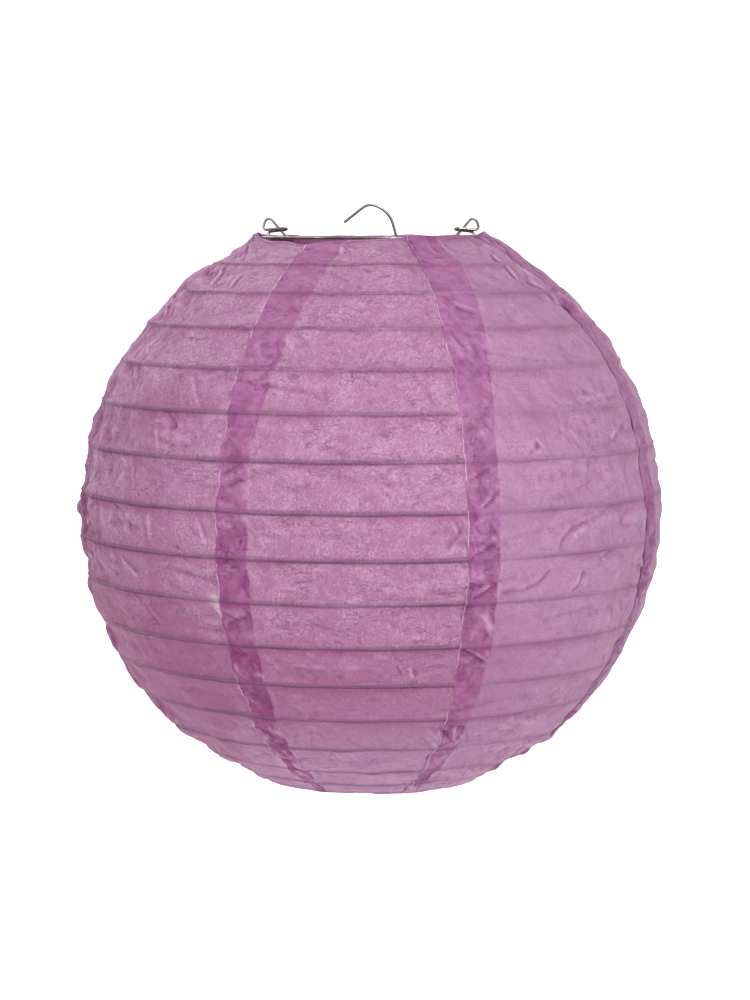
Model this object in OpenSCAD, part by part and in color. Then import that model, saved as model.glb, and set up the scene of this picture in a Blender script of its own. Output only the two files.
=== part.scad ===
// Round paper lantern on wire hoops, held open by a bent wire expander.
// Millimetres, +Z up. The origin is the saddle of the hanging hook, on the lantern's axis.
// The hook, crossbar and legs of the expander lie in the XZ plane.

/* [Globe] */
// radius of the paper globe, over the hoops
globe_r = 150; // [75:5:300]
// height from the top ring to the bottom ring
ring_gap = 278; // [130:1:560]
// latitude of each hoop, from the top down
rib_lat = [57.4, 48.8, 40, 31.1, 22.4, 13.5, 4.3, -4.2, -12.4, -21, -29.3, -37.8, -46.8, -55.6, -62.5];
// diameter of the hoop wire
rib_d = 0.8; // [0.6:0.1:2]

/* [Paper] */
// thickness of the paper skin
paper_t = 0.2; // [0.2:0.1:1]
// angle that each gore laps over its neighbour
lap_angle = 6.6; // [3:0.2:12]
// angle of each seam from the front, turning to the right, with one gore between each two
seam_angle = [21, 69.3, 122.3, 175.3, 228.4, 281.4, 333.9];
// how far each gore is set sideways, so that its left margin clears its neighbour
gore_shift = 0.6; // [0.5:0.05:1.5]
// clearance between the paper and the hoops
paper_gap = 0.45; // [0.4:0.05:1]
// height of the paper's free edge above the top ring
free_edge = 1.5; // [0.5:0.1:4]

/* [Rings] */
// centre radius of the top and bottom rings
ring_r = 56; // [30:1:120]
// diameter of the ring wire
ring_d = 1.4; // [1:0.1:3]

/* [Expander] */
// diameter of the expander wire
wire_d = 1.5; // [1:0.1:3]
// half width between the legs
leg_x = 49; // [25:1:100]
// clearance between the wire and the rings it spreads
seat_gap = 0.1; // [0.05:0.05:0.5]
// height of the hook's saddle above the top ring
hook_h = 16; // [12:0.5:40]
// height of the eyes above the top ring
eye_h = 10; // [6:0.5:20]

/* [Colours] */
// paper colour
paper_colour = "#b07ab4";
// wire colour
wire_colour = "#8b8a84";

/* [Hidden] */
$fn = 96;

// heights of the top ring, bottom ring and globe centre
top_z = -hook_h;
bottom_z = top_z - ring_gap;
mid_z = (top_z + bottom_z) / 2;
half = ring_gap / 2;
wr = wire_d / 2;
// inner radius of the paper round the rings
edge_r = ring_r + ring_d / 2 + paper_gap;

// ---- wire ----

function unit(v) = v / norm(v);

// a path is a list of [point, bend radius]
// where the bend at point i starts (side = -1) or ends (side = 1)
function bend_point(p, i, side) =
  let (a = unit(p[i - 1][0] - p[i][0]), b = unit(p[i + 1][0] - p[i][0]))
  let (turn = 180 - acos(a * b), reach = p[i][1] * tan(turn / 2))
  p[i][0] + (side < 0 ? a : b) * reach;

function span_start(p, i) = i == 0 ? p[0][0] : bend_point(p, i, 1);
function span_end(p, i) = i == len(p) - 2 ? p[i + 1][0] : bend_point(p, i + 1, -1);

// a straight round bar from a to b, with a bead where the next bend takes over
module bar(a, b, d, bead) {
  v = b - a;
  length = norm(v);
  if (length > 0.01)
    translate(a)
      rotate([0, acos(v[2] / length), atan2(v[1], v[0])]) {
        cylinder(h = length, d = d);
        if (bead) translate([0, 0, length]) sphere(d = d + 0.03);
      }
}

// the round bend at point i of a path, with a bead where the next bar takes over
module bend(p, i, d) {
  a = unit(p[i - 1][0] - p[i][0]);
  b = unit(p[i + 1][0] - p[i][0]);
  turn = 180 - acos(a * b);
  r = p[i][1];
  centre = p[i][0] + unit(a + b) * r / cos(turn / 2);
  x = unit(bend_point(p, i, -1) - centre);
  z = unit(cross(x, bend_point(p, i, 1) - centre));
  y = cross(z, x);
  multmatrix([
    [x[0], y[0], z[0], centre[0]],
    [x[1], y[1], z[1], centre[1]],
    [x[2], y[2], z[2], centre[2]],
    [0, 0, 0, 1]]) {
    rotate_extrude(angle = turn)
      translate([r, 0])
        circle(d = d);
    rotate([0, 0, turn])
      translate([r, 0, 0])
        sphere(d = d + 0.03);
  }
}

// a bent wire
module wire(p, d) {
  for (i = [0:len(p) - 2]) bar(span_start(p, i), span_end(p, i), d, i < len(p) - 2);
  for (i = [1:len(p) - 2]) bend(p, i, d);
}

// path of the hook, from its free tip to its foot on the crossbar
hook_path = [
  [[-13.92, 0, 7.78 + top_z], 0],
  [[-1.22, 0, 17.68 + top_z], 7],
  [[9.48, 0, 13.68 + top_z], 13.5],
  [[13.3, 0, top_z - 0.2], 1.8]];

// one side of the expander: crossbar end, eye, upper seat, leg, lower seat
seat_z = ring_d / 2 + seat_gap + wr;
turn_z = 3;
function side_path(s) = [
  [[s * 42.8, 0, top_z - 0.2], 3],
  [[s * 53.4, 0, top_z + eye_h + 1.9], 2.3],
  [[s * 55.9, 0, top_z + 3.9], 1.6],
  [[s * 43.4, -1.65, top_z + 4.9], 1.6],
  [[s * 43.4, 1.65, top_z + 4.1], 1.6],
  [[s * 52.9, 1.2, top_z + 3], 1.6],
  [[s * 52.9, 0, top_z - seat_z], 1.5],
  [[s * 58, 0, top_z - seat_z], turn_z / 2],
  [[s * 58, 0, top_z - seat_z - turn_z], turn_z / 2],
  [[s * leg_x, 0, top_z - seat_z - turn_z], 3],
  [[s * leg_x, 0, bottom_z + seat_z + turn_z], 3],
  [[s * 58, 0, bottom_z + seat_z + turn_z], turn_z / 2],
  [[s * 58, 0, bottom_z + seat_z], turn_z / 2],
  [[s * 52.9, 0, bottom_z + seat_z], 1.5],
  [[s * 52.9, 0, bottom_z - 3.2], 3]];

function reversed(p) = [for (i = [len(p) - 1:-1:0]) p[i]];

// the crossbar's left half runs past the hook's foot and ends beside it
crossbar_end = [[14.6, -1.65, top_z + 0.2], 0];

module expander() {
  color(wire_colour)
    wire(concat(hook_path, side_path(1), reversed(side_path(-1)), [crossbar_end]), wire_d);
}

// ---- rings and hoops ----

module hoop(r, z, d) {
  color(wire_colour)
    translate([0, 0, z])
      rotate_extrude()
        translate([r, 0])
          circle(d = d);
}

module rib(k) {
  reach = globe_r - paper_t - paper_gap - rib_d / 2;
  hoop(reach * cos(rib_lat[k]), mid_z + reach * sin(rib_lat[k]), rib_d);
}

// ---- paper ----

// the skin's corners from the top edge to the bottom edge, lifted off the hoops
function skin(lift) = concat(
  [[edge_r + lift, half + free_edge], [edge_r + lift, half]],
  [for (lat = rib_lat) (globe_r - paper_t + lift) * [cos(lat), sin(lat)]],
  [[edge_r + lift, -half], [edge_r + lift, -half - free_edge]]);

// one gore: its left margin lies over the gore on its left
module gore(k) {
  width = (seam_angle[k % len(seam_angle)] - seam_angle[k - 1] + 360) % 360;
  span = width + lap_angle;
  middle = seam_angle[k - 1] + width / 2;
  color(paper_colour)
    translate([0, 0, mid_z])
      rotate([0, 0, middle - 90])
        translate([0, -gore_shift, 0])
          rotate([0, 0, -span / 2])
            rotate_extrude(angle = span)
              polygon(concat(skin(0), reversed(skin(paper_t))));
}

expander();
hoop(ring_r, top_z, ring_d);  // top_ring
hoop(ring_r, bottom_z, ring_d);  // bottom_ring
gore(1);  // paper_gore_1
gore(2);  // paper_gore_2
gore(3);  // paper_gore_3
gore(4);  // paper_gore_4
gore(5);  // paper_gore_5
gore(6);  // paper_gore_6
gore(7);  // paper_gore_7
rib(0);  // rib_01
rib(1);  // rib_02
rib(2);  // rib_03
rib(3);  // rib_04
rib(4);  // rib_05
rib(5);  // rib_06
rib(6);  // rib_07
rib(7);  // rib_08
rib(8);  // rib_09
rib(9);  // rib_10
rib(10);  // rib_11
rib(11);  // rib_12
rib(12);  // rib_13
rib(13);  // rib_14
rib(14);  // rib_15
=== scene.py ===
"""Round paper lantern: creased tissue gores pasted over wire hoops, held open by a bent wire expander.

Metres, in the CAD frame: the origin is the saddle of the hook, +Z up, the front is -Y. An azimuth is
counted in degrees from the front, turning to +X. Each gore is one open sheet whose shape is built here
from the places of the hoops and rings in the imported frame.
"""

import functools
import math

import bpy
import numpy as np
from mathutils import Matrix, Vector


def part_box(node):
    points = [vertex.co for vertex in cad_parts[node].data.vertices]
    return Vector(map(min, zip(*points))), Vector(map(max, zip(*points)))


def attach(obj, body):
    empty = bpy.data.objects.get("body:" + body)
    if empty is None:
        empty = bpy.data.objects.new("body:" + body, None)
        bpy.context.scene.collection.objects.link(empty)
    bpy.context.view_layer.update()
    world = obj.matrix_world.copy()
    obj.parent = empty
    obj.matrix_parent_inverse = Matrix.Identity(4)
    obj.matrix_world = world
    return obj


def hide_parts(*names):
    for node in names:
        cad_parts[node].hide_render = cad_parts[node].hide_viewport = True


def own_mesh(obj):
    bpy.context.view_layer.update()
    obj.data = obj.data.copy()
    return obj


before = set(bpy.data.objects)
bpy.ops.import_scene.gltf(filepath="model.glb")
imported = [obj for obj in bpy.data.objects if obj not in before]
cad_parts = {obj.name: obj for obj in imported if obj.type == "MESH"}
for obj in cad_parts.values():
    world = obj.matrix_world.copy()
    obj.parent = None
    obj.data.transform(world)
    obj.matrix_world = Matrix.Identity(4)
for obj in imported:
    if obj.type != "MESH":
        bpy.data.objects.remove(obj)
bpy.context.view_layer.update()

MM = 0.001
HOOPS = [f"rib_{k:02d}" for k in range(1, 16)]
GORES = [f"paper_gore_{k}" for k in range(1, 8)]

# ---------------------------------------------------------------- places in the frame


def ring_of(node):
    """A level ring's centre radius and height, from the box of its node."""
    low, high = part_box(node)
    wire = (high.z - low.z) / 2
    return (high.x - low.x) / 2 - wire, (low.z + high.z) / 2


TOP_R, TOP_Z = ring_of("top_ring")
BOTTOM_Z = ring_of("bottom_ring")[1]
MID_Z = (TOP_Z + BOTTOM_Z) / 2
EDGE_R = TOP_R + 1.25 * MM
SKIN = 0.72 * MM  # from a hoop's centre line to the paper over it

# azimuth of each seam; gore k lies between seam k and the next one, and over the gore on its left
SEAMS = [21.0, 69.3, 122.3, 175.3, 228.4, 281.4, 333.9]
LEFT_MARGIN = 3.3  # how far a gore runs on past its left seam, in degrees
LAYER = 0.34  # how far the outer layer of a seam stands over the inner one, in mm
FRONT_LEFT_SEAM = 6  # the gore whose strip is the deepest

# azimuth of each of the expander's eyes, and how wide the paper is gathered up there, in degrees
EYES = {-90.0: 13.0, 90.0: 12.0}

# the ends of the fifth hoop lie side by side up to this azimuth, which makes a stronger line
OVERLAP_END = 17.0
OVERLAP_LAT = 22.4

# how each gore looks: pale fibres, hoops showing through, and smears of paste beside its right seam
FIBRE = [0.35, 0.5, 0.8, 0.6, 0.9, 1.0, 1.0]
SHOWING = [0.42, 0.6, 0.8, 0.55, 0.9, 1.0, 1.0]
PASTE = [0.1, 0.2, 0.5, 0.3, 0.6, 1.0, 0.0]

# ---------------------------------------------------------------- noise

CELLS = 48  # a noise repeats after this many cells


@functools.cache
def lattice(seed):
    """Random corner values, and a fixed random rotation so that two noises' cells don't line up."""
    rng = np.random.default_rng(seed)
    rotation, _ = np.linalg.qr(rng.normal(size=(3, 3)))
    return rng.uniform(-1, 1, CELLS**3), rotation


def noise(p, size, seed):
    """Smooth noise from -1 to 1 at the points p (..., 3), in cells of the given size."""
    values, rotation = lattice(seed)
    q = p @ rotation / size
    cell = np.floor(q)
    fx, fy, fz = np.moveaxis((q - cell) ** 2 * (3 - 2 * (q - cell)), -1, 0)
    x, y, z = np.moveaxis(cell.astype(np.int64) % CELLS, -1, 0)
    x1, y1, z1 = (x + 1) % CELLS, (y + 1) % CELLS, (z + 1) % CELLS

    def along_z(i, j):
        row = (i * CELLS + j) * CELLS
        low = values.take(row + z)
        return low + (values.take(row + z1) - low) * fz

    near = along_z(x, y)
    near = near + (along_z(x, y1) - near) * fy
    far = along_z(x1, y)
    far = far + (along_z(x1, y1) - far) * fy
    return near + (far - near) * fx


def folds(p, size, seed):
    """Soft swells that meet in sharp curved folds: 0 along the folds, up to 1 between them."""
    bent = p + 0.35 * size * np.stack([noise(p, size * 1.7, seed + k) for k in (1, 2, 3)], axis=-1)
    return np.abs(noise(bent, size, seed))


def facets(p, size, seed):
    """Flat facets, -1 to 1, of about the given size that meet in straight creases, as in crumpled paper."""
    values, rotation = lattice(seed)
    shift = np.stack([noise(p, size * 2.1, seed + k) for k in (1, 2, 3)], axis=-1)
    q = p @ rotation / size + 0.4 * shift
    cell = np.floor(q)
    part = q - cell
    corner = cell.astype(np.int64) % CELLS

    def value():
        return values.take((corner[..., 0] * CELLS + corner[..., 1]) * CELLS + corner[..., 2])

    # linear within each of the six tetrahedra of a cell: one step along each axis, the largest part first
    order = np.argsort(-part, axis=-1)
    last = value()
    height = last.copy()
    for step in range(3):
        axis = order[..., step : step + 1]
        np.put_along_axis(corner, axis, (np.take_along_axis(corner, axis, -1) + 1) % CELLS, -1)
        following = value()
        height += np.take_along_axis(part, axis, -1)[..., 0] * (following - last)
        last = following
    return height


def smooth(x, low, high):
    """0 at low, 1 at high, with soft ends; low may be the greater of the two."""
    t = np.clip((x - low) / (high - low), 0, 1)
    return t * t * (3 - 2 * t)


def hill(x, centre, width):
    """A bell curve: 1 at the centre, about a third at width from it."""
    return np.exp(-(((x - centre) / width) ** 2))


def turn(azimuth, centre=0):
    """Signed angle from centre to azimuth, in degrees from -180 to 180."""
    return (azimuth - centre + 180) % 360 - 180


def place(azimuth, r, z):
    """The point at an azimuth in degrees, a radius and a height."""
    a = np.radians(azimuth)
    return np.stack([r * np.sin(a), -r * np.cos(a), z], axis=-1)


# ---------------------------------------------------------------- the paper's shape


def meridian():
    """The paper's rows from its top edge to its bottom edge, one dict per row.

    r, z: place before creasing. t: 0 at a hoop, 1 at the next. over: row's distance past the nearest
    hoop, downwards. flap: 0 on the globe, up to 1 at the free edge, negative at the bottom edge.
    first: 1 at the top ring, down to 0 at the first hoop.
    """
    knots = [(EDGE_R, TOP_Z)]
    for node in HOOPS:
        r, z = ring_of(node)
        reach = math.hypot(r, z - MID_Z)
        knots.append((r * (1 + SKIN / reach), z + (z - MID_Z) * SKIN / reach))
    knots.append((EDGE_R, BOTTOM_Z))
    near = np.array([0, 0.3, 0.6, 0.95, 1.4, 2.1, 3.0]) * MM  # rows crowd beside a hoop
    edge = dict(r=EDGE_R, z=TOP_Z, t=0.0, over=0.0, flap=0.0, first=0.0)
    rows = [dict(edge, flap=f, first=1.0) for f in np.linspace(1, 0.2, 6)]
    for band, ((r0, z0), (r1, z1)) in enumerate(zip(knots, knots[1:])):
        length = math.hypot(r1 - r0, z1 - z0)
        steps = max(3, int((length - 2 * near[-1]) / 1.1 / MM))
        inner = np.linspace(near[-1], length - near[-1], steps + 1)
        for s in np.concatenate([near[:-1], inner, (length - near[:-1])[::-1]])[:-1]:
            over = s if s < length / 2 else s - length
            t = s / length
            rows.append(dict(r=r0 + (r1 - r0) * t, z=z0 + (z1 - z0) * t, t=t, over=over, flap=0.0,
                             first=1.0 - t if band == 0 else 0.0))
    rows.append(dict(edge, z=BOTTOM_Z))
    rows += [dict(edge, z=BOTTOM_Z, flap=-f) for f in np.linspace(0.2, 1, 6)]
    return knots, {key: np.array([row[key] for row in rows])[:, None] for key in rows[0]}


KNOTS, ROWS = meridian()
ROWS["lat"] = np.degrees(np.arctan2(ROWS["z"] - MID_Z, ROWS["r"]))
FIRST_R, FIRST_Z = KNOTS[1][0] - EDGE_R, TOP_Z - KNOTS[1][1]  # the top band's run outwards and down


def margin(lat):
    """How far a gore runs on past its right seam, in degrees; it is cut wider towards the top."""
    return 3.1 + 9.3 * (np.clip(lat - 10, 0, 52) / 50) ** 1.6


# Height of the paper's edge over the top ring's centre, in mm: where it is negative, the paper has
# come off the ring and the bare wire shows. Beyond the front it only waves.
EDGE_AT = [-180, -110, -82, -66, -54, -40, -31, -26, -18, -8, 0, 14, 31, 45, 62, 80, 110, 180]
EDGE_HIGH = [1.4, 1.3, 0.6, -0.7, -1.9, -2.1, -3.2, -2.5, -1.5, -1.1, -0.9, 0.2, 1.2, 1.9, 1.6, 2.0, 1.6, 1.4]
LIES_OVER = 0.9  # the least height, in mm, at which the edge still lies over the ring


def top_edge(azimuth, p):
    """Height of the free edge over the top ring, in mm."""
    wave = 0.5 * noise(p, 0.013, 41) + 0.35 * noise(p, 0.005, 42)
    return np.interp(turn(azimuth), EDGE_AT, EDGE_HIGH) + wave


def bottom_edge(azimuth, p):
    """Depth of the free edge under the bottom ring, in mm."""
    low = 1.25 + 0.3 * noise(p, 0.015, 51) + 0.2 * noise(p, 0.005, 52)
    notch = 1.6 * hill(turn(azimuth, -4), 0, 4)  # the bare ring shows just left of the middle
    return np.maximum(low - notch, -0.2)


CREASE_GAIN = 1.5  # how much higher the creases below are made than their stated heights
MOST_RELIEF = 2.6  # in mm

# Creases that stand out: azimuth and depth below the top ring in mm of both ends, height in mm
# (negative for a valley), and width in mm.
CREASES = [
    (37.4, 147, 38.5, 143, -0.9, 1.6), (38.5, 143, 41.0, 138, -0.9, 1.6),
    (41.0, 138, 44.8, 136, -0.8, 1.6), (40.6, 142, 44.3, 137, 0.6, 1.6),
    (40.7, 171, 43.0, 167, -0.7, 1.5), (43.0, 167, 44.2, 160, -0.7, 1.5),
    (25.0, 167, 29.4, 167, -0.8, 1.8), (29.4, 167, 33.1, 164, -0.9, 1.8),
    (33.1, 164, 35.8, 158, -0.8, 1.8), (24.2, 142, 28.5, 140, -0.6, 2.6),
    (28.5, 140, 42.1, 135, -0.6, 3), (35.7, 183, 42.0, 181, -0.5, 3), (42.0, 181, 49.2, 179, -0.5, 3),
    (49.6, 80, 54.8, 79, -0.8, 1.6), (54.8, 79, 63.0, 78, -0.8, 1.6), (33.4, 96, 34.1, 99, -0.7, 1.4),
    (34.1, 99, 31.4, 102, -0.7, 1.4), (47.7, 100, 54.5, 100, -0.5, 1.6), (57.3, 92, 56.0, 98, 0.6, 1.6),
    (56.0, 98, 62.6, 92, -0.7, 1.6), (61.2, 5, 62.3, 18, 1.5, 2.3), (62.3, 18, 72.2, 28, 1.5, 2.5),
    (54.4, 9, 54.1, 20, -1.1, 2), (59.4, 21, 64.4, 30, -1, 2.2), (72.2, 28, 71.9, 41, 1.2, 2.6),
    (29.9, 30, 42.3, 30, 0.5, 4), (26.2, 54, 35.5, 57, -0.5, 2), (35.5, 57, 42.7, 59, -0.6, 2),
    (48.3, 155, 56.9, 148, -0.7, 1.8), (30.6, 191, 39.4, 190, 0.5, 3),
    (37.9, 110, 49.5, 106, -0.4, 2.6), (-22.2, 139, -5.5, 138, -0.4, 1.3),
    (-21.1, 160, -10.7, 160, -0.4, 1.4), (-14.7, 117, -11.4, 115, -0.6, 1.3),
    (6.5, 125, 14.9, 118, -0.5, 1.4), (16.6, 138, 13.8, 146, -0.7, 1.5),
    (16.6, 138, 15.3, 132, -0.6, 1.4), (16.6, 138, 10.7, 138, -0.4, 1.4),
    (-15.5, 204, 0.3, 204, -0.35, 1.7), (5.3, 202, 6.4, 207, -0.6, 1.3), (8.1, 203, 8.9, 209, 0.6, 1.3),
    (-18.2, 227, -8.1, 227, -0.35, 1.6), (-11.1, 11, 0.4, 17, -0.6, 2), (-2.7, 19, 13.0, 16, 0.6, 2.6),
    (-15.9, 22, -5.3, 26, -0.5, 2.2), (1.5, 12, 10.1, 10, -0.5, 2), (1.7, 176, 14.8, 171, -0.35, 2),
    (-9.0, 53, 2.0, 58, -0.35, 2.2), (-13.7, 189, -7.9, 195, -0.4, 1.6),
    (19.1, 130, 23.2, 121, -0.9, 1.4), (17.9, 173, 23.8, 163, -1.2, 1.6),
    (18.0, 114, 22.5, 108, -0.7, 1.5), (18.2, 150, 22.4, 144, -0.8, 1.5),
    (18.1, 194, 23.4, 201, -0.9, 1.6), (22.0, 45, 27.7, 48, -0.6, 1.8), (22.6, 33, 27.3, 36, -0.7, 1.8),
    (-28.5, 111, -24.3, 105, -0.7, 1.5), (-27.5, 142, -24.2, 140, -0.7, 1.5),
    (-28.0, 171, -24.4, 172, -0.7, 1.5), (-28.3, 183, -24.2, 179, -0.8, 1.6),
    (-46.0, 81, -41.5, 90, -0.9, 1.5), (-46.5, 92, -44.6, 100, 0.6, 1.5),
    (-40.7, 67, -36.9, 80, 0.5, 2.2), (-52.2, 110, -50.7, 119, 0.6, 1.5),
    (-56.9, 106, -54.0, 110, 0.6, 1.4), (-57.8, 129, -53.5, 134, -0.8, 1.5),
    (-52.1, 136, -51.8, 142, -0.7, 1.4), (-66.8, 130, -74.0, 144, 1.6, 2),
    (-55.3, 156, -50.7, 164, 0.7, 1.8), (-45.7, 126, -45.6, 145, 0.6, 2.2),
    (-64.3, 14, -55.4, 25, 1.1, 1.6), (-46.7, 19, -45.8, 25, 0.9, 1.6), (-77.3, 28, -69.8, 38, 1, 1.6),
    (-63.6, 51, -62.6, 58, 0.8, 1.6), (-63.3, 9, -62.1, 13, 0.9, 1.5),
    (-50.9, 176, -46.6, 189, -0.6, 2.2), (-38.4, 146, -36.2, 153, -0.7, 1.5),
    (-33.6, 133, -31.4, 144, 0.7, 1.8),
]


def crease(azimuth, z, ends):
    """A straight fold over the paper, in mm: a tent with one steep side and one easy side."""
    a0, d0, a1, d1, height, width = ends
    scale = np.radians(1) * ROWS["r"] / MM
    x = turn(azimuth, a0) * scale
    y = (TOP_Z - z) / MM - d0
    ux, uy = turn(a1, a0) * scale, d1 - d0
    length = np.hypot(ux, uy)
    along = (x * ux + y * uy) / length
    across = (x * uy - y * ux) / length
    across = np.where(across > 0, across / 0.75, -across / 2.6)  # the steep side, then the easy one
    inside = smooth(along, -2, 2) * smooth(length - along, -2, 2)
    return height * np.maximum(1 - across / width, 0) * inside


def streaks(p):
    """Folds that fan out over the shoulders from the two eyes, in mm."""
    total = np.zeros(p.shape[:-1])
    for seed, x in ((61, -TOP_R), (62, TOP_R)):
        away = p - np.array([x, 0, TOP_Z])
        d = np.linalg.norm(away, axis=-1)
        heading = away / np.maximum(d, 1e-6)[..., None]
        fan = np.abs(noise(heading, 0.2, seed)) * 1.2 + 0.5 * np.abs(noise(heading, 0.085, seed + 3))
        total += fan * np.exp(-d / 0.042) * smooth(d, 0, 0.012) * 2.4
    return total


def relief(azimuth):
    """How far the paper stands off its plain shape in mm, each point's plain place, and how rumpled it is.

    It depends on the place alone, so the two layers of a seam follow each other.
    """
    r, z, t, over, lat = (ROWS[k] for k in ("r", "z", "t", "over", "lat"))
    p = place(azimuth, r, z + 0 * azimuth)
    a = turn(azimuth)
    globe = np.abs(ROWS["flap"]) == 0
    held = np.sin(np.pi * t) ** 0.6 * globe  # 0 where a hoop holds the paper, 1 midway

    # the flanks and the lower parts of the seams are the most rumpled
    left = smooth(-a, 44, 82) * smooth(170 + a, 0, 40)
    right = smooth(a, 20, 60) * smooth(170 - a, 0, 40)
    seam = np.zeros_like(p[..., 0])
    for s in SEAMS:
        past = turn(azimuth, s)
        seam = np.maximum(seam, smooth(past, -5.5, -2.5) * smooth(margin(lat) + 1.2 - past, 0, 2))
    shoulder = smooth(lat, 8, 32)
    patchy = 0.6 + 0.7 * smooth(noise(p, 0.04, 10), -0.3, 0.5)
    rough = (0.5 + 0.9 * left + 0.6 * right + 0.8 * seam * (1 - 0.7 * shoulder)) * patchy

    sag = -(0.35 + 0.25 * noise(p, 0.05, 11)) * 4 * t * (1 - t)  # inwards, between two hoops
    broad = noise(p * [1, 1, 2.2], 0.034, 12)
    level = folds(p * [1, 1, 3.4], 0.028, 13)
    upright = folds(p * [1, 1, 0.2], 0.0085, 14)
    coarse = facets(p * [1, 1, 1.6], 0.022, 15)
    medium = facets(p, 0.011, 16)
    fine = facets(p, 0.0062, 17)
    mm = held * (
        0.6 * broad
        + 1.6 * (level - 0.3)
        + (0.2 + 1.3 * left) * (upright - 0.3)
        + rough * (2.2 * coarse + 1.5 * medium + 0.9 * fine)
    )
    mm = mm + sag
    mm = mm + (0.35 + 0.65 * held) * streaks(p)
    for ends in CREASES:
        mm = mm + CREASE_GAIN * crease(azimuth, z, ends) * (0.15 + 0.85 * held)
    mm = MOST_RELIEF * np.tanh(mm / MOST_RELIEF)
    mm = mm + 0.3 * hill(over / MM, 0, 0.9) * globe  # the hoop's own bump
    mm = mm + (0.14 + 0.12 * seam) * (noise(p, 0.006, 18) + noise(p, 0.0028, 19)) * (1 - held)
    return mm, p, rough


def bend_of(mm, spacing):
    """How sharply the paper is bent, per mm: above 0 in a valley and below 0 on a ridge."""
    r, z, flap, over = (ROWS[k][:, 0] for k in ("r", "z", "flap", "over"))
    down = np.concatenate([[0], np.cumsum(np.hypot(np.diff(r), np.diff(z)))]) / MM
    # the rows of the free edges share one place, so they get a small distance of their own
    down = down + np.arange(len(down)) * 1e-4 + 0.2 * np.cumsum(np.abs(flap) > 0)
    bend = np.gradient(np.gradient(mm, down, axis=0), down, axis=0)
    bend += np.gradient(np.gradient(mm, axis=1), axis=1) / spacing**2
    bend *= smooth(np.abs(over) / MM, 1.1, 2.4)[:, None]  # the hoops' own bumps don't count
    bend[:, :2] = bend[:, -2:] = 0
    return bend


def bare_place(azimuth, mm, p):
    """Radius and height of a layer that stands mm over the plain shape, with its free edges drawn in."""
    flap, first = ROWS["flap"], ROWS["first"]
    high = top_edge(azimuth, p)
    # where the paper has come off the ring, the top band starts lower on its slope
    start = np.maximum(LIES_OVER - high, 0) * MM / FIRST_Z
    r = ROWS["r"] + first * start * FIRST_R
    z = ROWS["z"] - first * start * FIRST_Z
    # the top edge leans inwards where it is loose and a little outwards where it lies over the ring
    up, down = np.clip(flap, 0, 1), np.clip(-flap, 0, 1)
    loose = smooth(start, 0, 0.15)
    leaning = loose * -0.9 + (1 - loose) * (0.35 + 0.5 * noise(p, 0.008, 43))
    r = r + up * leaning * MM
    z = z + up * np.maximum(high, LIES_OVER) * MM
    # the bottom edge curls in under the ring
    z = z - down * bottom_edge(azimuth, p) * MM
    r = r - down * down * 0.9 * MM
    # outside each eye the paper runs straight up the shoulder, over the ring
    for side, wide in EYES.items():
        pull = hill(turn(azimuth, side), 0, wide) * first
        r = r + pull * (2.6 - 2.0 * up + 0.5 * noise(p, 0.008, 44)) * MM
        z = z + pull * (1.8 + 0.1 * up + 0.4 * noise(p, 0.008, 45)) * MM
    # the relief stands square to the globe, and level at the free edges
    lat = np.arctan2(ROWS["z"] - MID_Z, ROWS["r"])
    level = np.clip(np.abs(flap) * 3, 0, 1)
    r = r + mm * (np.cos(lat) * (1 - level) + level) * MM
    return r, z + mm * np.sin(lat) * (1 - level) * MM


def sheet_mesh(name, co, columns, values):
    """A mesh of a grid of points, with one float attribute per value and the rest position."""
    rows = len(co) // columns
    i = np.arange(rows - 1)[:, None] * columns + np.arange(columns - 1)[None]
    quads = np.stack([i, i + columns, i + columns + 1, i + 1], axis=-1).reshape(-1, 4)
    mesh = bpy.data.meshes.new(name)
    mesh.vertices.add(len(co))
    mesh.vertices.foreach_set("co", co.astype(np.float32).ravel())
    mesh.loops.add(quads.size)
    mesh.loops.foreach_set("vertex_index", quads.astype(np.int32).ravel())
    mesh.polygons.add(len(quads))
    mesh.polygons.foreach_set("loop_start", np.arange(0, quads.size, 4, dtype=np.int32))
    mesh.polygons.foreach_set("use_smooth", np.ones(len(quads), bool))
    for key, value in values.items():
        kind = "FLOAT_VECTOR" if value.ndim == 2 else "FLOAT"
        layer = mesh.attributes.new(key, kind, "POINT")
        layer.data.foreach_set("vector" if value.ndim == 2 else "value", value.astype(np.float32).ravel())
    mesh.update()
    mesh.validate()
    return mesh


def wire_shows(k, azimuth, lap):
    """How strongly each hoop shows through gore k; it fades under the second layer of a seam."""
    faded = 0.15 if k == FRONT_LEFT_SEAM else 0.5
    strength = SHOWING[k] * (1 - faded * lap)
    single = smooth(turn(azimuth), OVERLAP_END - 0.5, OVERLAP_END + 0.5)
    single = single * (np.abs(ROWS["lat"] - OVERLAP_LAT) < 4)
    return strength * (1 - 0.55 * single)


def painted_shade_tone(azimuth, lat):
    """How much painted shade darkens the paper: in a band under the middle, and low on the left."""
    low = hill(lat, -31, 14) * smooth(azimuth, 70, -10)
    left = smooth(-azimuth, 22, 72) * smooth(lat, 12, -28) * (0.45 + 0.55 * smooth(lat, -62, -44))
    return np.clip(0.8 * low + 0.9 * left, 0, 1) * smooth(170 + azimuth, 0, 60)


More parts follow.
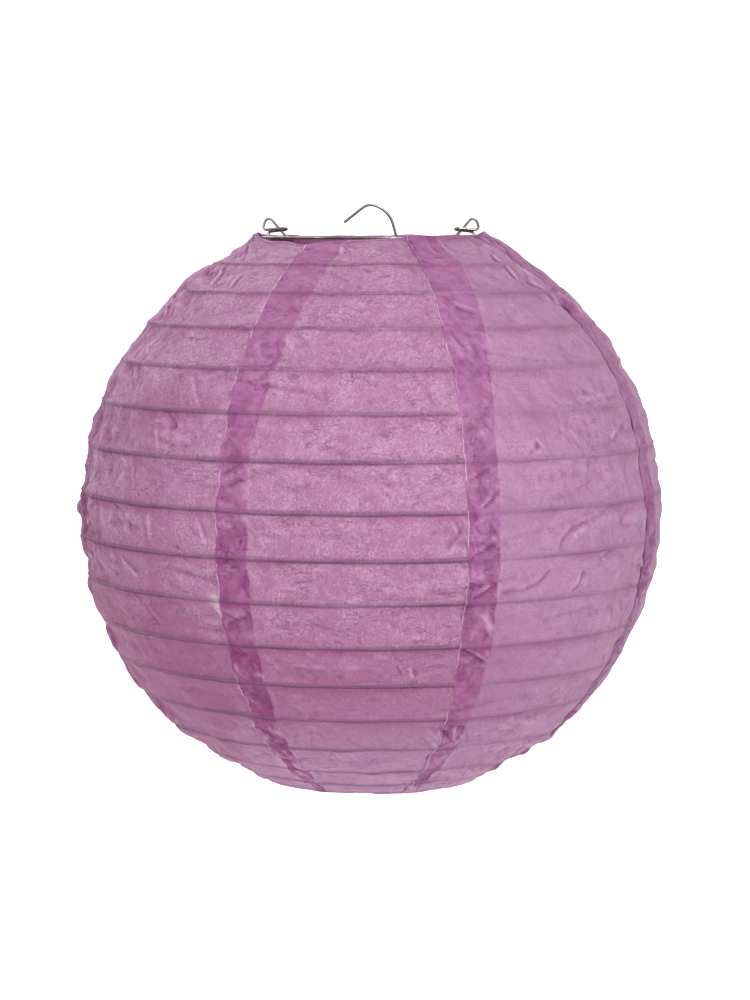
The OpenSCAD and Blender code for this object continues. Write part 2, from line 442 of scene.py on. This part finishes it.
def looks(k, azimuth, p, in_lap, hidden, bend, rough):
    """What the material reads at each point of gore k, each from 0 to about 1.

    in_lap is how far a point lies inside its own strip, and hidden how far under the next gore, in mm.
    """
    lat = ROWS["lat"]
    a = turn(azimuth)
    globe = np.abs(ROWS["flap"]) == 0
    lap = smooth(in_lap, -0.2, 0.2)
    lower = 1 - 0.75 * smooth(lat, 8, 36)  # on the shoulders the strips are smooth and the hoops faint
    leftwards = smooth(-a, 26, 50) * smooth(170 + a, 0, 40)

    past = ROWS["over"] / MM + 0.25 * noise(p, 0.016, 92)  # mm past the middle of the nearest hoop
    shows = wire_shows(k, azimuth, lap) * (0.8 + 0.3 * noise(p, 0.03, 90))
    wire = np.exp(-(((past - 0.05) / 1.15) ** 4)) * globe
    # a painted shadow along the underside of each hoop's bump
    shade = hill(past, 1.25, 0.5) * globe

    near_seam = np.where(hidden < 0, hill(hidden, 0, 5.0), 1.0) * (hidden < 0.5) * (hidden > -12)
    smeared = PASTE[k] * (0.25 + 0.75 * hill(lat, -9, 11))

    # painted shade: darker just below each hoop, in a band under the middle and low on the left; the blotches
    # on the left are random
    painted_shade_under_hoop = hill(past, 2.2, 2.6) * (past > 0) * smooth(noise(p * [1, 1, 2], 0.02, 94), -0.5, 0.5)
    blotches = leftwards * smooth(facets(p, 0.022, 95), 0.0, 0.3)
    painted_shade_and_blotches = painted_shade_tone(a, lat) + 0.6 * painted_shade_under_hoop + 0.4 * blotches
    if k == FRONT_LEFT_SEAM:
        painted_shade_and_blotches = painted_shade_and_blotches + 0.35 * lap * smooth(lat, 30, -5)
    patches = facets(p, 0.0085, 93) + 0.4 * noise(p, 0.004, 97)
    fibre = FIBRE[k] * (0.4 + 0.6 * smooth(lat, -50, -8)) * (1 + 0.6 * leftwards * noise(p, 0.02, 96))
    return {
        "wire": wire * shows * (0.6 + 0.4 * lower),
        "shade": shade * shows * (0.35 + 0.65 * lower),
        "fibre": fibre,
        # painted shade in the valleys and a painted highlight on the ridges
        "valley": np.clip(bend * 2.2 - 0.1, 0, 0.85),
        "ridge": np.clip(-bend * 2.0 - 0.12, 0, 0.85),
        "stuck": smooth(patches, -0.12, 0.12) * lower,
        "painted_shade_and_blotches": np.clip(painted_shade_and_blotches, 0, 1),
        "rough": np.clip(rough / 2, 0, 1) * (0.3 + 0.7 * lower),
        "paste": near_seam * smooth(noise(p, 0.009, 91), 0.1, 0.4) * smeared,
    }


COLUMNS = 142  # points across a gore
TURNED_IN = 3.4 * MM  # length of paper at the two free edges together
GORE_OFFSET = 0.7  # between the textures of two gores, in metres


def gore(k):
    """Gore k's mesh, flat size and area: a creased sheet from its raw left edge to its hidden right one."""
    lat = ROWS["lat"]
    left = SEAMS[k]
    width = (SEAMS[(k + 1) % len(SEAMS)] - left) % 360
    per_degree = np.radians(1) * ROWS["r"] / MM  # mm of paper to a degree
    down = place(np.full_like(lat, left), ROWS["r"], ROWS["z"])
    cut = (0.7 * noise(down, 0.012, 30 + k) + 0.3 * noise(down, 0.0035, 40 + k)) / per_degree
    start = left - LEFT_MARGIN + cut
    stop = left + width + margin(lat) + 0.5 * noise(down, 0.02, 50 + k) / per_degree
    azimuth = start + (stop - start) * np.linspace(0, 1, COLUMNS)[None]
    mm, p, rough = relief(azimuth)

    from_raw = (azimuth - start) * per_degree
    seam_end = left + margin(lat) + 0.5 * noise(down, 0.02, 50 + (k - 1) % len(SEAMS)) / per_degree
    in_lap = (seam_end - azimuth) * per_degree
    hidden = (azimuth - (left + width - LEFT_MARGIN)) * per_degree
    mm = mm + LAYER * (1 - smooth(azimuth, seam_end + 0.4, seam_end + 3.5))
    # here and there the raw edge curls up
    curl = np.exp(-from_raw / 1.3) * np.maximum(noise(p, 0.009, 70 + k), 0)
    mm = mm + 0.75 * curl * (0.25 + 0.75 * np.sin(np.pi * ROWS["t"]))
    r, z = bare_place(azimuth, mm, p)

    bend = bend_of(mm, (stop - start) * per_degree / (COLUMNS - 1))
    read = looks(k, azimuth, p, in_lap, hidden, bend, rough)
    values = {key: value.ravel() for key, value in read.items()}
    values |= {"lap_mm": in_lap.ravel(), "raw_mm": from_raw.ravel()}
    values["rest"] = p.reshape(-1, 3) + k * GORE_OFFSET
    mesh = sheet_mesh(f"gore_sheet_{k + 1}", place(azimuth, r, z).reshape(-1, 3), COLUMNS, values)

    step = np.hypot(np.diff(ROWS["r"][:, 0]), np.diff(ROWS["z"][:, 0]))
    across = ((stop - start) * per_degree * MM)[:, 0]
    area = float((step * (across[1:] + across[:-1]) / 2).sum() + TURNED_IN * across[0])
    return mesh, (float(across.max()), float(step.sum() + TURNED_IN)), area


# ---------------------------------------------------------------- materials


class Graph:
    """A small helper for node trees: g.add(kind, {input: value or socket}, settings) gives the node."""

    def __init__(self, name):
        self.material = bpy.data.materials.new(name)
        self.material.use_nodes = True
        self.tree = self.material.node_tree
        self.tree.nodes.clear()

    def add(self, kind, inputs=None, **settings):
        node = self.tree.nodes.new("ShaderNode" + kind)
        for key, value in settings.items():
            setattr(node, key, value)
        for key, value in (inputs or {}).items():
            if isinstance(value, bpy.types.NodeSocket):
                self.tree.links.new(value, node.inputs[key])
            else:
                node.inputs[key].default_value = value
        return node

    def math(self, operation, *values):
        return self.add("Math", dict(enumerate(values)), operation=operation).outputs[0]

    def attribute(self, name, output="Fac"):
        return self.add("Attribute", attribute_name=name).outputs[output]

    def ramp(self, value, low, high, to_low=0.0, to_high=1.0):
        inputs = {"Value": value, "From Min": low, "From Max": high, "To Min": to_low, "To Max": to_high}
        return self.add("MapRange", inputs, interpolation_type="SMOOTHSTEP").outputs[0]

    def mix(self, factor, a, b, blend="MIX"):
        node = self.add("Mix", data_type="RGBA", blend_type=blend)
        for key, value in ((0, factor), (6, a), (7, b)):
            if isinstance(value, bpy.types.NodeSocket):
                self.tree.links.new(value, node.inputs[key])
            else:
                node.inputs[key].default_value = value
        return node.outputs[2]

    def noise(self, vector, scale, detail, rough=0.5, distortion=0.0):
        inputs = {"Vector": vector, "Scale": scale, "Detail": detail,
                  "Roughness": rough, "Distortion": distortion}
        return self.add("TexNoise", inputs).outputs[0]


def rgb(r, g, b):
    """An sRGB colour, 0 to 255, as linear RGBA."""
    linear = [c / 255 / 12.92 if c <= 10 else ((c / 255 + 0.055) / 1.055) ** 2.4 for c in (r, g, b)]
    return (*linear, 1.0)


def tissue():
    """Orchid tissue paper: pale tangled fibres, darker double layers, hoops seen through it, with painted
    shade in its creases, under the hoops and low on the globe, and painted highlights on its ridges.
    """
    g = Graph("tissue_paper")
    at = g.attribute("rest", "Vector")
    fibre = g.attribute("fibre")
    rough = g.attribute("rough")

    # pale fibres: a felt, and strands in three directions
    cloudy = g.noise(at, 70, 4, 0.6, 0.6)
    felt = g.noise(at, 700, 6, 0.8, 0.6)
    threads = None
    for turned_by, scale in ((0.3, 1250), (1.4, 1080), (2.5, 1160)):
        across = g.add("Mapping", {0: at, "Rotation": (turned_by, turned_by * 1.7, turned_by * 0.6),
                                   "Scale": (4.0, 1.0, 1.0)}, vector_type="TEXTURE").outputs[0]
        line = g.ramp(g.noise(across, scale, 2, 0.6, 0.8), 0.57, 0.7)
        threads = line if threads is None else g.math("MAXIMUM", threads, line)
    pale = g.math("MULTIPLY_ADD", threads, 0.5, g.math("MULTIPLY", g.ramp(felt, 0.44, 0.66), 0.55))
    pale = g.math("MULTIPLY", pale, g.ramp(cloudy, 0.25, 0.62, 0.45, 1.0))
    pale = g.math("MULTIPLY", pale, g.math("MULTIPLY_ADD", fibre, 0.54, 0.14))

    # the dye of a single layer
    body = g.mix(g.ramp(cloudy, 0.3, 0.7), PAPER_DEEP, PAPER)
    speck = g.ramp(g.noise(at, 2400, 2, 0.7), 0.3, 0.75)
    body = g.mix(g.math("MULTIPLY", speck, g.math("MULTIPLY", fibre, 0.6)), body, PAPER_LIGHT)
    body = g.mix(g.math("MULTIPLY_ADD", fibre, -0.7, 0.75), body, PAPER_SMOOTH)
    body = g.mix(pale, body, PAPER_PALE_AND_HIGHLIGHT)

    # the double layers of the strips, painted shade, the raw edges (paler, partly a painted highlight where
    # they lift) and the smears of paste
    lap = g.ramp(g.attribute("lap_mm"), -0.25, 0.25)
    blotch = g.noise(at, 150, 4, 0.6, 0.8)
    stuck = g.math("MULTIPLY_ADD", g.attribute("stuck"), 0.5, g.ramp(blotch, 0.36, 0.64, 0.0, 0.4))
    strip = g.mix(stuck, STRIP, STRIP_DEEP)
    body = g.mix(lap, body, g.mix(0.2, strip, body))
    # painted shade: the paper darkened in a band under the middle, low on the left, just below each hoop and
    # low on the deepest strip, with random blotches on the left
    body = g.mix(g.attribute("painted_shade_and_blotches"), body, g.mix(0.5, body, PAPER_PAINTED_SHADE))
    # the raw edges paler, partly a painted highlight where they lift
    raw = g.ramp(g.attribute("raw_mm"), 0.7, 0.1, 0.0, 0.7)
    body = g.mix(g.math("MULTIPLY", raw, g.ramp(cloudy, 0.42, 0.58)), body, PAPER_EDGE)
    body = g.mix(g.math("MULTIPLY", g.attribute("paste"), 0.7), body, PAPER_EDGE)

    # painted shade in the valleys and painted highlights on the ridges, painted shade along fine creases on
    # the edges of small cells and along level wrinkles
    jitter = g.add("TexNoise", {"Vector": at, "Scale": 90, "Detail": 2}).outputs[1]
    shift = {0: jitter, 1: (0.007, 0.007, 0.007), 2: at}
    bent = g.add("VectorMath", shift, operation="MULTIPLY_ADD").outputs[0]
    fold = g.add("TexVoronoi", {"Vector": bent, "Scale": 125}, feature="DISTANCE_TO_EDGE").outputs[0]
    dark = g.mix(lap, VALLEY_PAINTED_SHADE, STRIP_VALLEY_PAINTED_SHADE)
    body = g.mix(g.math("MULTIPLY", g.attribute("ridge"), 0.5), body, PAPER_PALE_AND_HIGHLIGHT)
    body = g.mix(g.math("MULTIPLY", g.attribute("valley"), 0.85), body, dark)
    crumpled = g.math("MULTIPLY", rough, g.ramp(blotch, 0.44, 0.58))
    line = g.math("MULTIPLY", g.ramp(fold, 0.07, 0.0), crumpled)
    body = g.mix(g.math("MULTIPLY", line, 0.8), body, dark)
    flat = g.add("Mapping", {0: at, "Scale": (3.5, 3.5, 1.0)}, vector_type="TEXTURE").outputs[0]
    wave = g.math("ABSOLUTE", g.math("SUBTRACT", g.noise(flat, 190, 4, 0.6, 0.6), 0.5))
    creased = g.math("MULTIPLY", g.ramp(cloudy, 0.46, 0.6, 0.0, 0.55), g.ramp(fibre, 0.1, 0.8, 0.2, 1.0))
    wrinkle = g.math("MULTIPLY", g.ramp(wave, 0.03, 0.0), creased)
    body = g.mix(wrinkle, body, dark)

    # the hoops seen through the paper, with a painted shadow along the underside of each
    body = g.mix(g.math("MULTIPLY", g.attribute("wire"), 0.68), body, WIRE_THROUGH)
    body = g.mix(g.math("MULTIPLY", g.attribute("shade"), 0.95), body, WIRE_PAINTED_SHADOW)

    # the fine relief, under a faintly glossy face that lets some light through
    crinkle = g.noise(at, 300, 6, 0.65, 0.6)
    folded = g.math("MULTIPLY", g.math("MULTIPLY", fold, rough), 2.2)
    height = g.math("ADD", g.math("MULTIPLY", crinkle, 0.7), folded)
    height = g.math("ADD", height, g.math("MULTIPLY_ADD", felt, 0.2, g.math("MULTIPLY", wrinkle, -0.5)))
    bump = g.add("Bump", {"Height": height, "Distance": 0.0011, "Strength": 0.75}).outputs[0]
    sheen = g.add("BsdfPrincipled", {"Base Color": body, "Normal": bump, "Specular IOR Level": 0.22,
                                     "Roughness": g.ramp(felt, 0.3, 0.7, 0.42, 0.6)})
    glow = g.add("BsdfTranslucent", {"Color": g.mix(1.0, body, GLOW, "MULTIPLY"), "Normal": bump})
    both = g.add("MixShader", {0: 0.3, 1: sheen.outputs[0], 2: glow.outputs[0]})
    g.add("OutputMaterial", {"Surface": both.outputs[0]})
    return g.material


def steel(name, colour, dark):
    """Drawn steel wire: a fine grain, dull patches and a little darkening."""
    g = Graph(name)
    at = g.add("TexCoord").outputs["Object"]
    patch = g.noise(at, 120, 3, 0.6)
    grain = g.noise(at, 2200, 2, 0.7, 0.6)
    mixed = g.mix(g.ramp(patch, 0.35, 0.7), colour, dark)
    mixed = g.mix(g.math("MULTIPLY", g.ramp(grain, 0.55, 0.85), 0.3), mixed, BRIGHT_STEEL)
    bump = g.add("Bump", {"Height": grain, "Distance": 0.00002, "Strength": 0.3}).outputs[0]
    inputs = {"Base Color": mixed, "Metallic": 0.9, "Normal": bump,
              "Roughness": g.ramp(patch, 0.3, 0.7, 0.3, 0.42)}
    metal = g.add("BsdfPrincipled", inputs)
    g.add("OutputMaterial", {"Surface": metal.outputs[0]})
    return g.material


# a single layer, from its deep to its pale places; the pale one also gives the painted highlights on ridges,
# and the shaded one is painted shade
PAPER = rgb(166, 115, 150)
PAPER_DEEP = rgb(152, 94, 134)
PAPER_LIGHT = rgb(182, 136, 168)
PAPER_SMOOTH = rgb(182, 142, 174)
PAPER_PALE_AND_HIGHLIGHT = rgb(222, 190, 212)
PAPER_EDGE = rgb(236, 212, 228)
PAPER_PAINTED_SHADE = rgb(134, 42, 98)
# the double layers, painted shade in the creases, and the hoops seen through the paper with their painted
# shadows
STRIP = rgb(176, 114, 162)
STRIP_DEEP = rgb(136, 62, 118)
VALLEY_PAINTED_SHADE = rgb(132, 68, 112)
STRIP_VALLEY_PAINTED_SHADE = rgb(112, 40, 96)
WIRE_THROUGH = rgb(114, 76, 102)
WIRE_PAINTED_SHADOW = rgb(78, 36, 66)
GLOW = (1.0, 0.86, 0.97, 1.0)  # tints the light that comes through

paper = tissue()
for k, node in enumerate(GORES):
    mesh, flat, area = gore(k)
    piece = bpy.data.objects.new(mesh.name, mesh)
    bpy.context.scene.collection.objects.link(piece)
    mesh.materials.append(paper)
    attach(piece, "spreader")
    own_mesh(piece)
    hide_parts(node)

BRIGHT_STEEL = rgb(176, 172, 168)
expander_wire = steel("expander_wire", rgb(160, 154, 150), rgb(126, 120, 118))
hoop_wire = steel("hoop_wire", rgb(142, 138, 136), rgb(108, 104, 104))
for name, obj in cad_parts.items():
    if name not in GORES:
        obj.data.materials.clear()
        obj.data.materials.append(expander_wire if name == "expander" else hoop_wire)

# ---------------------------------------------------------------- floor, light and camera


FLOOR_Z = BOTTOM_Z - 0.42
FLOOR_HALF_WIDTH = 9.0
FLOOR_FRONT = -8.0
BEND_START = 6.0  # how far behind the lantern the floor starts to curve up
BEND_R = 2.0
WALL_HEIGHT = 5.0


def floor():
    """A pale studio floor that the lantern hangs over, curving up far behind it."""
    profile = [(FLOOR_FRONT, FLOOR_Z), (BEND_START, FLOOR_Z)]
    for a in np.linspace(0.1, math.pi / 2, 12):
        profile.append((BEND_START + BEND_R * math.sin(a), FLOOR_Z + BEND_R * (1 - math.cos(a))))
    profile.append((BEND_START + BEND_R, FLOOR_Z + WALL_HEIGHT))
    verts = [(x, y, z) for y, z in profile for x in (-FLOOR_HALF_WIDTH, FLOOR_HALF_WIDTH)]
    faces = [(2 * i, 2 * i + 1, 2 * i + 3, 2 * i + 2) for i in range(len(profile) - 1)]
    mesh = bpy.data.meshes.new("studio_floor")
    mesh.from_pydata(verts, [], faces)
    mesh.polygons.foreach_set("use_smooth", np.ones(len(faces), bool))
    g = Graph("studio_floor")
    at = g.add("TexCoord").outputs["Object"]
    tint = g.mix(g.noise(at, 3, 3), (0.93, 0.93, 0.93, 1), (0.96, 0.96, 0.96, 1))
    # painted light: the floor glows, weakly in front and more strongly behind the lantern, in place of lamps
    # lighting the backdrop
    backdrop_glow = g.ramp(g.add("SeparateXYZ", {0: at}).outputs[1], 0.2, 1.6, 0.25, 0.85)
    matt = g.add("BsdfPrincipled", {"Base Color": tint, "Roughness": 0.9, "Specular IOR Level": 0.1,
                                    "Emission Color": (1, 1, 1, 1), "Emission Strength": backdrop_glow})
    g.add("OutputMaterial", {"Surface": matt.outputs[0]})
    mesh.materials.append(g.material)
    obj = bpy.data.objects.new("studio_floor", mesh)
    bpy.context.scene.collection.objects.link(obj)


def lamp(name, place_m, size, watts, colour=(1, 1, 1)):
    """A round lamp of the given diameter in metres that points at the middle of the lantern."""
    light = bpy.data.lights.new(name, "AREA")
    light.shape = "DISK"
    light.size = size
    light.energy = watts
    light.color = colour
    obj = bpy.data.objects.new(name, light)
    obj.location = place_m
    aim = np.array([0, 0, MID_Z]) - np.array(place_m)
    obj.rotation_euler = (math.atan2(math.hypot(aim[0], aim[1]), -aim[2]), 0, math.atan2(-aim[0], aim[1]))
    bpy.context.scene.collection.objects.link(obj)


floor()
lamp("key", (0.65, -1.6, 1.35), 0.5, 43, (1.0, 0.985, 1.0))
lamp("left_fill", (-1.9, -1.0, 0.8), 1.0, 18, (1.0, 0.97, 1.0))
lamp("low_fill", (0.6, -1.5, -0.55), 1.0, 5, (1.0, 0.96, 1.0))
lamp("back_top", (-0.8, 1.6, 1.2), 1.4, 12)

world = bpy.data.worlds.new("studio")
world.use_nodes = True
world.node_tree.nodes["Background"].inputs["Color"].default_value = (1, 1, 1, 1)
world.node_tree.nodes["Background"].inputs["Strength"].default_value = 0.48
bpy.context.scene.world = world

DISTANCE = 1.43  # from the lantern's axis to the lens
TILT = 5.417  # how far the camera looks down, in degrees
SIDE = 0.00207  # how far it stands to the right of the axis
camera = bpy.data.cameras.new("camera")
camera.sensor_width = 36
camera.lens = 99.6
eye = bpy.data.objects.new("camera", camera)
eye.location = (SIDE, -DISTANCE, TOP_Z)
eye.rotation_euler = (math.radians(90 - TILT), 0, 0)
bpy.context.scene.collection.objects.link(eye)
bpy.context.scene.camera = eye
bpy.context.scene.view_settings.view_transform = "Standard"
